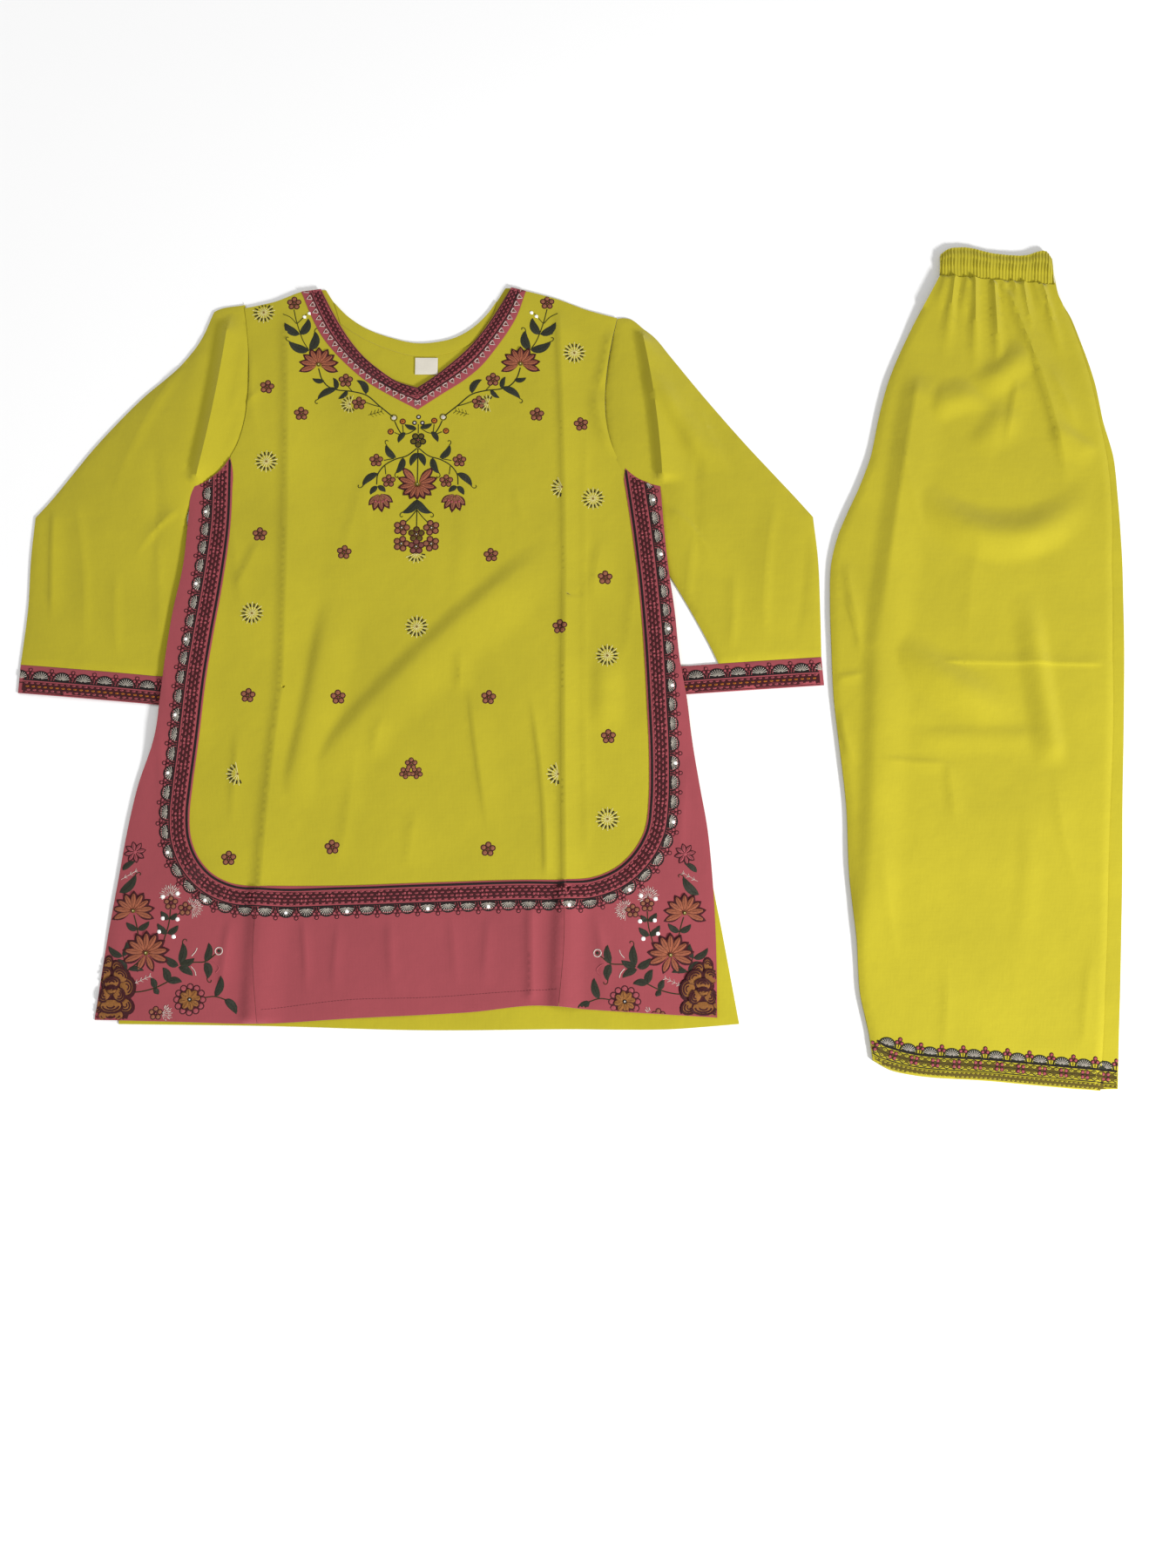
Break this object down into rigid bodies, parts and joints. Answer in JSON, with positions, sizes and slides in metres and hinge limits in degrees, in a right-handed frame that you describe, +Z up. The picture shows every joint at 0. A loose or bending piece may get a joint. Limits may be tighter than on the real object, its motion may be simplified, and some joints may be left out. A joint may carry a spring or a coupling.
{
  "type": "kurta set",
  "caption": "Girl's kurta set laid flat: V-necked kurta with long sleeves and a curved embroidered border, beside elastic-waist trousers folded lengthwise.",
  "frame": {"origin": "middle of the whole set's box, on the surface it lies on", "axes": "+X to the right from the kurta to the trousers, +Y up the garments towards neck and waist, +Z up from the surface"},
  "size_m": [1.0961, 0.87, 0.0109],
  "materials": {
    "yellow_cotton": "soft plain-woven cotton, matt, chartreuse yellow",
    "pink_cotton": "soft plain-woven cotton, matt, dusty pink",
    "embroidered_band": "pink cotton under dense machine embroidery in maroon, pink and silver grey",
    "label_tape": "woven cream tape, bare"
  },
  "bodies": {
    "root": {"kurta_back": "yellow_cotton", "back_neck_facing": "yellow_cotton", "neck_label": "label_tape", "kurta_front": "yellow_cotton", "border_left": "pink_cotton", "border_right": "pink_cotton", "hem_panel": "pink_cotton", "border_band": "embroidered_band", "neck_band": "embroidered_band", "sleeve_left": "yellow_cotton", "sleeve_right": "yellow_cotton", "cuff_left": "embroidered_band", "cuff_right": "embroidered_band", "trouser_leg_lower": "yellow_cotton", "trouser_layers": "yellow_cotton", "trouser_leg_upper": "yellow_cotton", "waistband": "yellow_cotton"}
  },
  "joints": []
}
